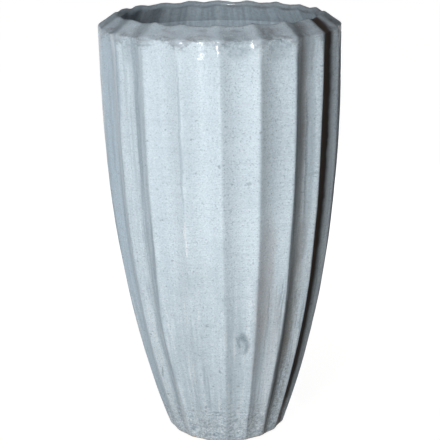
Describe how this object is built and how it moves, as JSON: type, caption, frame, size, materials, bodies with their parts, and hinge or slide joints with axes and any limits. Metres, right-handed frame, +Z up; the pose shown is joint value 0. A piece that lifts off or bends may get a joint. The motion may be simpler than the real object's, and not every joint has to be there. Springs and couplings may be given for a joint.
{
  "type": "tall planter",
  "caption": "Tall fluted stoneware planter with a tapered wall, an inturned rim with a wavy lip, a drain hole with a pull-out rubber plug and rubber floor pads.",
  "frame": {"origin": "on the floor, under the middle of the pot", "axes": "+Z up along the pot's own axis, from the floor to the lip; a ridge between two flutes lies on -Y, the side towards the viewer"},
  "size_m": [0.436, 0.436, 0.8],
  "materials": {
    "glazed_stoneware": "satin glaze",
    "rubber": "matt"
  },
  "bodies": {
    "pot": {"base_slab": "glazed_stoneware", "fluted_wall": "glazed_stoneware", "rim_collar": "glazed_stoneware", "floor_pad_1": "rubber", "floor_pad_2": "rubber", "floor_pad_3": "rubber", "floor_pad_4": "rubber"},
    "plug": {"drain_plug": "rubber"}
  },
  "joints": [
    {"name": "plug_pull", "type": "slide", "parent": "pot", "child": "plug", "axis": [0, 0, -1], "range_m": [0, 0.045]}
  ]
}
